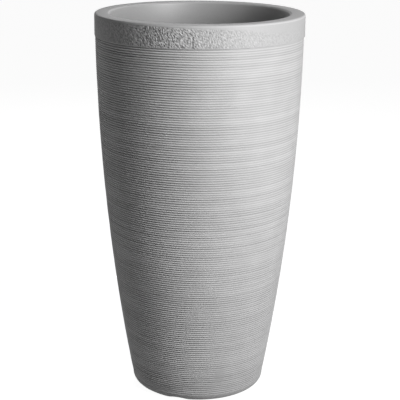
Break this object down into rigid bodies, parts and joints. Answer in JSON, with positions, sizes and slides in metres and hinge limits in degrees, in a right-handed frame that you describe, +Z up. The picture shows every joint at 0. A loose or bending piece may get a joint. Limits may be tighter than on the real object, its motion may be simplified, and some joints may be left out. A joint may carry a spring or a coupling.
{
  "type": "floor planter",
  "caption": "Tall round floor planter with a combed wall that swells and tapers to a narrow base, a plain rim band, a lift-out planting shelf and drain stoppers.",
  "frame": {"origin": "centre of the ring that the planter stands on, on the ground", "axes": "+Z up along the planter's axis, and the front of the planter faces -Y"},
  "size_m": [0.3559, 0.356, 0.663],
  "materials": {
    "shell_plastic": "matte, combed wall and stippled rim band",
    "shelf_plastic": "fine moulded grain",
    "stopper_rubber": "matte"
  },
  "bodies": {
    "shell": {"planter_shell": "shell_plastic"},
    "shelf": {"planting_shelf": "shelf_plastic"},
    "stopper_1": {"drain_stopper_1": "stopper_rubber"},
    "stopper_2": {"drain_stopper_2": "stopper_rubber"},
    "stopper_3": {"drain_stopper_3": "stopper_rubber"}
  },
  "joints": [
    {"name": "shelf_lift", "type": "slide", "parent": "shell", "child": "shelf", "axis": [0, 0, 1], "range_m": [0, 0.5]},
    {"name": "stopper_1_pull", "type": "slide", "parent": "shell", "child": "stopper_1", "axis": [0, 0, -1], "range_m": [0, 0.03]},
    {"name": "stopper_2_pull", "type": "slide", "parent": "shell", "child": "stopper_2", "axis": [0, 0, -1], "range_m": [0, 0.03]},
    {"name": "stopper_3_pull", "type": "slide", "parent": "shell", "child": "stopper_3", "axis": [0, 0, -1], "range_m": [0, 0.03]}
  ]
}
